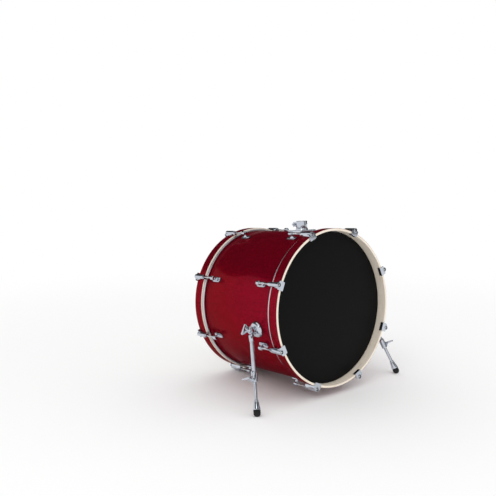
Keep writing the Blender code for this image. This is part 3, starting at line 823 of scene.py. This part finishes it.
def bracketMeshes():
    toDrum = toWorld.inverted() @ leg
    normal = Vector((cos(spur["station"]), sin(spur["station"]), 0))
    foot = normal * drum["shellRadius"] + Vector((0, 0, toDrum.translation.z))
    place = frameOf((0, 0, 1), normal, foot)
    wide, high, low = spur["domeRadius"], spur["domeHeight"], -0.004
    profile = [(0, high), (spur["domeTop"], high), (spur["domeShoulder"], high * 0.72), (wide, 0.0042)]
    dome = turnedSolid(profile + [(wide, low), (0, low)], [0, 0.004, 0.006, 0.0022, 0, 0], 5, 64)
    # stub that the leg turns against, bored for the lock bolt
    into = place.inverted() @ toDrum @ sideways
    face = -spur["headThickness"] / 2 - fit
    radius, back = spur["pivotRadius"], face - spur["pivotOut"]
    stub = turnedSolid([(0, face), (radius, face), (radius, back), (0, back)], 0.0009, 3, 48)
    thread = cylinder(spur["bolt"] + fit, face - spur["boltGrip"] - 2 * fit, 0.02, 24)
    cuts = [shellRoom(place, fit + spur["pad"]), placed(thread, into)]
    casting = joined(dome, adds=[placed(stub, into)], cuts=cuts, soften=0.0008)
    edge = wide + 0.0007
    pad = turnedSolid([(0, 0.0016), (edge, 0.0016), (edge, low), (0, low)], 0.0003, 2, 64)
    keeps = [shellRoom(place, 0.0002 + spur["pad"])]
    gasket = joined(pad, keeps=keeps, cuts=[shellRoom(place, 0.0002)])
    return placed(casting, toWorld @ place), placed(gasket, toWorld @ place)


def legMesh():
    radius, half = spur["headRadius"], spur["headThickness"] / 2
    head = turnedSolid([(0, half), (radius, half), (radius, -half), (0, -half)], 0.0012, 3, 48)
    start = -spur["pivotRadius"] - fit
    profile = [
        (0, 0),
        (spur["neck"], 0),
        (spur["neck"], start),
        (spur["sleeveTop"], start - spur["sleeveTop"] + spur["neck"]),
        (spur["sleeveEnd"], -spur["sleeveLength"]),
        (spur["tube"], -spur["sleeveLength"]),
        (spur["tube"], -spur["tubeLength"]),
        (0, -spur["tubeLength"]),
    ]
    tube = turnedSolid(profile, [0, 0.001, 0.002, 0.002, 0.0008, 0.0005, 0.0006, 0], 3, 48)
    bore = cylinder(spur["rod"] + fit, -far, -spur["sleeveLength"], 32)
    pin = placed(cylinder(spur["bolt"] + fit, -0.03, 0.03, 24), sideways)
    return joined(placed(head, sideways), adds=[tube], cuts=[bore, pin], soften=0.0005, segments=2)


def clampMesh():
    top = clampLow + spur["clampLength"]
    step = -spur["tubeLength"] - fit
    outer, tube, rod = spur["clampRadius"], spur["tube"] + fit, spur["rod"] + fit
    profile = [(outer - 0.0012, top), (outer, top - 0.006), (outer, clampLow), (rod, clampLow)]
    profile += [(rod, step), (tube, step), (tube, top)]
    collar = lathe(rounded(profile, [0.0010, 0.002, 0.0012, 0.0003, 0.0003, 0.0003, 0.0003], 3), 48)
    # boss and hole for the wing screw, and the slit that lets the clamp close
    wide, low = spur["clampBoss"], 0.005
    boss = turnedSolid([(0, outer), (wide, outer), (wide + 0.0006, low), (0, low)], 0.0006, 2, 32)
    toScrew = Matrix.Translation((0, 0, clampLow + spur["screwRise"])) @ sideways
    hole = cylinder(spur["screw"] + fit, 0, 0.03, 20)
    slit = rectangle(-0.03, -0.003, -spur["clampSlit"], spur["clampSlit"])
    cuts = [cylinder(rod, -0.5, far, 32), cylinder(tube, step, far, 32), placed(hole, toScrew)]
    cuts += [prism(slit, clampLow - 0.01, clampLow + 0.021)]
    return joined(collar, adds=[placed(boss, toScrew)], cuts=cuts, soften=0.0004, segments=2)


def rodMesh():
    coneLow = spur["tipLength"] - legReach
    coneHigh = coneLow + spur["coneLength"]
    top = spur["rodInside"] - spur["tubeLength"]
    neck, end = spur["coneTop"], spur["coneEnd"]
    profile = [(0, top), (spur["rod"], top), (spur["rod"], coneHigh + 0.0005), (neck - 0.0006, coneHigh)]
    # a fine groove parts the cone from its ferrule
    profile += [(neck, coneHigh - 0.004), (neck - 0.0007, coneHigh - 0.0048)]
    profile += [(neck + 0.0002, coneHigh - 0.0056), (end, coneLow + 0.003), (end, coneLow), (0, coneLow)]
    corners = [0, 0.0008, 0.0004, 0.0006, 0.0004, 0.0004, 0.0005, 0.002, 0.0007, 0]
    return turnedSolid(profile, corners, 3, 48)


def tipMesh():
    top = spur["tipLength"] - legReach - fit
    radius, ease = spur["tip"], 0.0008
    groove = top - 0.0055
    profile = [(0, top), (radius - 0.0006, top), (radius, top - ease), (radius, groove + ease)]
    profile += [(radius - 0.0007, groove), (radius, groove - ease)]
    turns = [radians(a) for a in range(0, 90, 6)]
    profile += [(radius * cos(a), -legReach - radius * sin(a)) for a in turns]
    tip = lathe(profile + [(0, -legReach - radius)], 48)
    # pressed flat by the floor
    ground = prism(rectangle(-0.06, 0.06, -0.06, 0.06), -0.1, 0)
    stand = leg @ Vector((0, 0, -legReach))
    ground.transform(leg.inverted() @ Matrix.Translation((stand.x, stand.y, 0)))
    return joined(tip, cuts=[ground], soften=0.0004, segments=2)


def buildSpurs():
    wingLine = (0, sin(spur["lockTurn"]), cos(spur["lockTurn"]))
    toLock = leg @ frameOf(wingLine, (1, 0, 0), (spur["headThickness"] / 2 + fit, 0, 0))
    screwPlace = (spur["clampRadius"] + fit, 0, clampLow + spur["screwRise"])
    toScrew = leg @ frameOf((0, 1, 0), (1, 0, 0), screwPlace)
    for side in ("left", "right"):
        bracket, gasket = bracketMeshes()
        lockBolt = wingBolt(spur["bolt"], spur["headThickness"] + spur["boltGrip"])
        clampScrew = wingBolt(spur["screw"], spur["clampRadius"] - spur["rod"])
        made = {
            "bracket": (bracket, chrome, "drum"),
            "bracket_gasket": (gasket, rubber, "drum"),
            "lock_bolt": (placed(lockBolt, toLock), chrome, f"{side}_lock_bolt"),
            "leg": (placed(legMesh(), leg), chrome, f"{side}_leg"),
            "clamp": (placed(clampMesh(), leg), chrome, f"{side}_leg"),
            "clamp_screw": (placed(clampScrew, toScrew), chrome, f"{side}_clamp_screw"),
            "rod": (placed(rodMesh(), leg), chrome, f"{side}_foot_rod"),
            "tip": (placed(tipMesh(), leg), rubber, f"{side}_foot_rod"),
        }
        for name, (mesh, material, body) in made.items():
            if side == "right":
                mesh.transform(Matrix.Scale(-1, 4, (1, 0, 0)))
                mesh.flip_normals()
            nodes = [node for node in frame["nodes"] if node == f"{side}_spur_{name}"]
            piece(f"{side}_{name}_piece", mesh, material, body, nodes)


buildSpurs()
print("spurs built")

# Tom mount on the crown of the shell

mount = {
    "length": 0.076,
    "span": 0.084,
    "corner": 0.012,
    "plate": 0.005,
    "height": 0.013,
    "pedestal": 0.024,
    "post": 0.0111,
    "receiver": 0.021,
    "receiverHeight": 0.026,
    "slot": 0.0045,
    "earLength": 0.017,
    "earThickness": 0.009,
    "earWidth": 0.018,
    "bolt": 0.004,
    "boltGrip": 0.009,
    "screwInset": 0.0085,
    "screwHead": 0.0048,
}


def saddleScrews():
    # four countersunk cross-head screws
    head, low = mount["screwHead"], -0.0014
    profile = [(0, 0.0009), (head * 0.6, 0.0008), (head, 0.0002), (head, low), (0, low)]
    x, y = mount["length"] / 2 - mount["screwInset"], mount["span"] / 2 - mount["screwInset"]
    long, thin = 0.0026, 0.0006
    screws = []
    for spot in rectangle(-x, x, -y, y):
        slots = [rectangle(-a, a, -b, b) for a, b in ((long, thin), (thin, long))]
        cross = [prism(slot, -thin, 0.004) for slot in slots]
        screw = joined(turnedSolid(profile, 0.0004, 3, 28), cuts=cross)
        screws.append(placed(screw, Matrix.Translation((*spot, mount["plate"]))))
    return combined(screws)


def receiverMesh(low, high, gap, earCentre):
    # split collar with two ears for its bolt
    radius, middle = mount["receiver"], (low + high) / 2
    ring = turnedSolid([(0, high), (radius, high), (radius, low), (0, low)], 0.0016, 3, 64)
    reach, half = radius + mount["earLength"], mount["earWidth"] / 2
    ears = prism(rounded(rectangle(-reach, 0, -gap, gap), 0.004), middle - half, middle + half)
    slot = prism(rectangle(-0.1, 0, -mount["slot"] / 2, mount["slot"] / 2), low - 0.01, high + 0.01)
    hole = cylinder(mount["bolt"] + fit, -0.05, 0.05, 24)
    hole.transform(Matrix.Translation(earCentre) @ turned((0, 1, 0)))
    cuts = [cylinder(mount["post"], -0.1, 0.1, 48), slot, hole]
    return joined(ring, adds=[ears], cuts=cuts, soften=0.0008)


def buildTomMount():
    crown = postFrame()
    x, y = mount["length"] / 2, mount["span"] / 2
    slab = prism(rounded(rectangle(-x, x, -y, y), mount["corner"], 6), -0.008, mount["plate"])
    foot, high = mount["pedestal"], mount["height"]
    pedestal = turnedSolid([(0, high), (foot - 0.002, high), (foot, 0), (0, 0)], [0, 0.002, 0, 0], 4, 64)
    cuts = [shellRoom(crown, fit), cylinder(mount["post"] + fit, -0.1, 0.1, 48)]
    saddle = joined(slab, adds=[pedestal], cuts=cuts, soften=0.0016, segments=4)
    piece("tom_saddle", placed(saddle, toWorld @ crown), chrome, "drum", ["tom_mount_base"])
    low = mount["height"] + fit
    top = low + mount["receiverHeight"]
    gap = mount["slot"] / 2 + mount["earThickness"]
    earCentre = Vector((-mount["receiver"] - mount["earLength"] / 2, 0, (low + top) / 2))
    receiver = placed(receiverMesh(low, top, gap, earCentre), toWorld @ crown)
    piece("tom_receiver", receiver, chrome, "drum", ["tom_mount_receiver"])
    toBolt = crown @ frameOf((1, 0, 0), (0, 1, 0), earCentre + Vector((0, gap + fit, 0)))
    bolt = placed(wingBolt(mount["bolt"], 2 * (gap + fit) + mount["boltGrip"]), toWorld @ toBolt)
    piece("tom_wing_bolt_piece", bolt, chrome, "tom_wing_bolt", ["tom_mount_wing_bolt"])
    piece("tom_saddle_screws", placed(saddleScrews(), toWorld @ crown), zincSteel, "drum")


buildTomMount()
print("tom mount built")

# Stage: pale floor, white surround, soft light


def buildFloor():
    look = {"pale": "#f9f9f9", "size": 40.0, "fade": {"From Min": 0.7, "From Max": 3.2}}
    size = look["size"]
    mesh = bpy.data.meshes.new("floor")
    mesh.from_pydata([(x, y, 0) for x, y in rectangle(-size, size, -size, size)], [], [(0, 1, 2, 3)])
    # matt paper under the drum, fading to the white of the surround so that no horizon shows
    material, tree = newMaterial("floor_paper_white")
    values = {"Base Color": hexColor(look["pale"]), "Roughness": 0.9, "Specular IOR Level": 0.1}
    paper = addNode(tree, "ShaderNodeBsdfPrincipled", values)
    white = addNode(tree, "ShaderNodeEmission", {"Color": (1, 1, 1, 1), "Strength": 1.0})
    coords = addNode(tree, "ShaderNodeTexCoord").outputs["Object"]
    away = addNode(tree, "ShaderNodeVectorMath", links={0: coords}, operation="LENGTH").outputs["Value"]
    fade = addNode(tree, "ShaderNodeMapRange", look["fade"], {"Value": away}, interpolation_type="SMOOTHSTEP")
    rays = addNode(tree, "ShaderNodeLightPath").outputs
    links = {0: rays["Is Glossy Ray"], 1: rays["Is Transmission Ray"]}
    mirror = addNode(tree, "ShaderNodeMath", links=links, operation="MAXIMUM")
    links = {0: rays["Is Camera Ray"], 1: mirror}
    seen = addNode(tree, "ShaderNodeMath", links=links, operation="MAXIMUM")
    share = addNode(tree, "ShaderNodeMath", links={0: seen, 1: fade}, operation="MULTIPLY")
    blend = addNode(tree, "ShaderNodeMixShader", links={0: share, 1: paper, 2: white})
    addNode(tree, "ShaderNodeOutputMaterial", links={"Surface": blend})
    mesh.materials.append(material)
    floor = bpy.data.objects.new("floor", mesh)
    bpy.context.scene.collection.objects.link(floor)


def buildWorld():
    look = {
        "white": 1.0,
        "ambient": 0.97,
        "dark": 0.06,
        "wallTop": {"From Min": 0.44, "From Max": 0.49, "To Min": 1.0, "To Max": 0.0},
        "wallSide": {"From Min": 0.0, "From Max": 0.3, "To Min": 1.0, "To Max": 0.0},
        "backDrop": {"From Min": 0.7, "From Max": 0.9, "To Max": 0.15},  # the wall is lower at the back
        "overhead": {"From Min": 0.80, "From Max": 0.92},
    }
    world = bpy.data.worlds.new("studio")
    bpy.context.scene.world = world
    world.use_nodes = True
    tree = world.node_tree
    tree.nodes.clear()
    soft = {"interpolation_type": "SMOOTHSTEP"}
    coords = addNode(tree, "ShaderNodeTexCoord").outputs["Generated"]
    heading = addNode(tree, "ShaderNodeSeparateXYZ", links={"Vector": coords}).outputs
    # what shines sees a dark studio with a white wall on the left and a soft light overhead
    drop = addNode(tree, "ShaderNodeMapRange", look["backDrop"], {"Value": heading["Y"]}, **soft)
    height = addNode(tree, "ShaderNodeMath", links={0: heading["Z"], 1: drop}, operation="ADD")
    below = addNode(tree, "ShaderNodeMapRange", look["wallTop"], {"Value": height}, **soft)
    left = addNode(tree, "ShaderNodeMapRange", look["wallSide"], {"Value": heading["X"]}, **soft)
    wall = addNode(tree, "ShaderNodeMath", links={0: below, 1: left}, operation="MULTIPLY")
    lamp = addNode(tree, "ShaderNodeMapRange", look["overhead"], {"Value": heading["Z"]}, **soft)
    lit = addNode(tree, "ShaderNodeMath", links={0: wall, 1: lamp}, operation="MAXIMUM")
    studio = addNode(tree, "ShaderNodeMix", {"A": look["dark"], "B": look["white"]}, {"Factor": lit})
    # the camera sees plain white, and matt surfaces an even light
    rays = addNode(tree, "ShaderNodeLightPath").outputs
    links = {0: rays["Is Glossy Ray"], 1: rays["Is Transmission Ray"]}
    mirror = addNode(tree, "ShaderNodeMath", links=links, operation="MAXIMUM")
    seen = addNode(tree, "ShaderNodeMix", {"A": look["ambient"]}, {"Factor": mirror, "B": studio})
    links = {"Factor": rays["Is Camera Ray"], "A": seen}
    strength = addNode(tree, "ShaderNodeMix", {"B": look["white"]}, links)
    back = addNode(tree, "ShaderNodeBackground", {"Color": (1, 1, 1, 1)}, {"Strength": strength})
    addNode(tree, "ShaderNodeOutputWorld", links={"Surface": back})


def addLamp(name, place, aim, size, watts):
    light = bpy.data.lights.new(name, "AREA")
    light.shape = "RECTANGLE"
    light.size, light.size_y = size
    light.energy = watts
    lamp = bpy.data.objects.new(name, light)
    lamp.location = place
    lamp.rotation_euler = (Vector(aim) - Vector(place)).to_track_quat("-Z", "Y").to_euler()
    bpy.context.scene.collection.objects.link(lamp)


def buildCamera():
    # fitted to the hoops' edges in the photograph
    view = {"place": (-1.6928, -1.7989, 0.7986), "turn": (83.486, 0.031, -39.356), "lens": 46.347}
    data = bpy.data.cameras.new("camera")
    data.lens = view["lens"]
    camera = bpy.data.objects.new("camera", data)
    camera.location = view["place"]
    camera.rotation_euler = [radians(a) for a in view["turn"]]
    bpy.context.scene.collection.objects.link(camera)
    bpy.context.scene.camera = camera


buildFloor()
buildWorld()
addLamp("key", (-2.2, -1.6, 2.6), (0, 0, 0.3), (1.6, 1.2), 12)
addLamp("fill", (1.8, -2.4, 1.4), (0, 0, 0.3), (1.6, 1.6), 5)
buildCamera()
bpy.context.scene.view_settings.view_transform = "Standard"
print("stage set")

bpy.context.view_layer.update()
